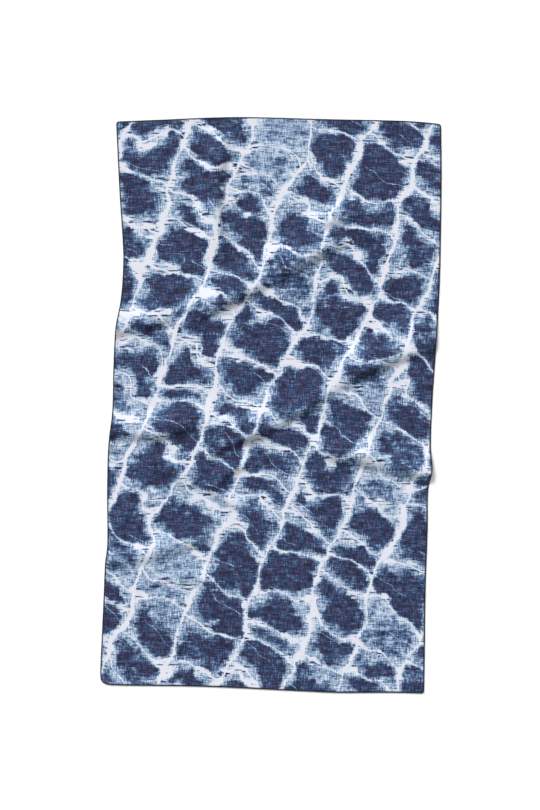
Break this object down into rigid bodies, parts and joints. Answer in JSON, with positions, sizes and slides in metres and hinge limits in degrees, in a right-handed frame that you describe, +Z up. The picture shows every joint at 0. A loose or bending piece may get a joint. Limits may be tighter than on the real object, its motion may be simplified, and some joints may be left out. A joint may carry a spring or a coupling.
{
  "type": "travel towel",
  "caption": "Thin printed microfibre travel towel lying flat on a surface with soft diagonal folds and a narrow dark thread edging.",
  "frame": {"origin": "on the surface that the towel lies on, below the middle of its box", "axes": "+Y along the length to the towel's top edge, +X across to the right as seen from above, +Z up from the printed side"},
  "size_m": [0.8425, 1.424, 0.0176],
  "materials": {
    "printed_cloth": "matt microfibre, dyed with indigo cells between pale veins",
    "edging_thread": "matt near-black overlock thread"
  },
  "bodies": {
    "root": {"towel_panel": "printed_cloth", "edging_bottom": "edging_thread", "edging_top": "edging_thread", "edging_left": "edging_thread", "edging_right": "edging_thread"}
  },
  "joints": []
}
